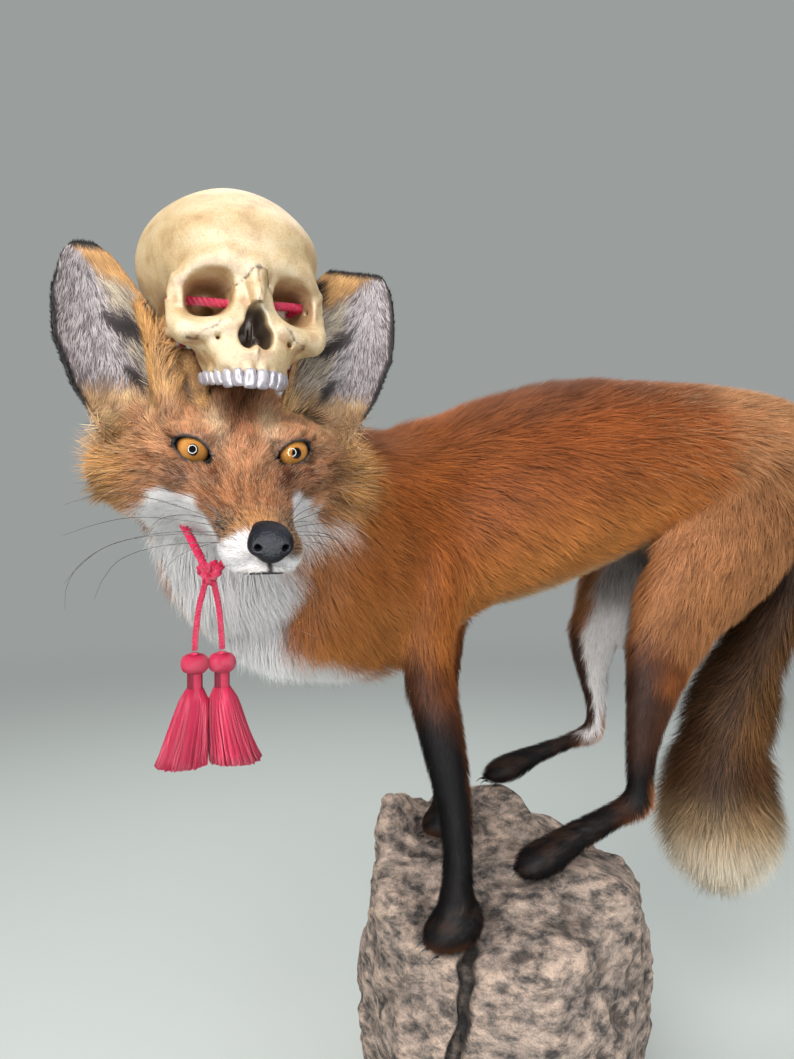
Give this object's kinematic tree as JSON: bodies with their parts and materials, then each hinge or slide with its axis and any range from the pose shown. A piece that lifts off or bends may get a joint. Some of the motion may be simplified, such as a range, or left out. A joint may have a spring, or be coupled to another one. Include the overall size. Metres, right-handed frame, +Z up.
{
  "type": "mounted red fox with replica skull headdress",
  "caption": "Life-size mounted red fox with its feet gathered on a rock and its head turned, wearing a small replica skull tied on with a tasselled cord.",
  "frame": {"origin": "on the rock's flat underside, near its middle, below the fox's forefeet", "axes": "+Z up; the fox's trunk runs along X with its chest towards -X; its left side and its face are towards -Y"},
  "size_m": [0.6473, 0.3215, 0.6445],
  "materials": {
    "red_coat": "dense red-brown winter coat",
    "bib_coat": "long soft white and orange coat",
    "black_coat": "short black coat",
    "tail_coat": "long grizzled brush",
    "ear_coat": "black-edged ears with pale hair inside",
    "nose_leather": "painted, satin",
    "glass_eye": "amber glass with a black pupil",
    "rock": "cast artificial stone, painted and rough",
    "resin_bone": "cast resin, stained like old bone, satin",
    "crimson_silk": "twisted rayon cord"
  },
  "bodies": {
    "root": {"head": "red_coat", "neck": "bib_coat", "chest": "red_coat", "loin": "red_coat", "rump": "red_coat", "ear_left": "ear_coat", "ear_right": "ear_coat", "nose": "nose_leather", "eye_left": "glass_eye", "eye_right": "glass_eye", "fore_left_upper": "red_coat", "fore_left_lower": "black_coat", "fore_left_paw": "black_coat", "fore_right_upper": "red_coat", "fore_right_lower": "black_coat", "fore_right_paw": "black_coat", "hind_left_upper": "red_coat", "hind_left_shank": "black_coat", "hind_left_foot": "black_coat", "hind_right_upper": "red_coat", "hind_right_shank": "black_coat", "hind_right_foot": "black_coat", "tail_base": "tail_coat", "tail_middle": "tail_coat", "tail_tip": "tail_coat", "rock_base": "rock", "skull": "resin_bone", "cord_sockets": "crimson_silk", "cord_left": "crimson_silk", "cord_right": "crimson_silk", "knot": "crimson_silk", "string_left": "crimson_silk", "tassel_left": "crimson_silk", "string_right": "crimson_silk", "tassel_right": "crimson_silk"}
  },
  "joints": []
}
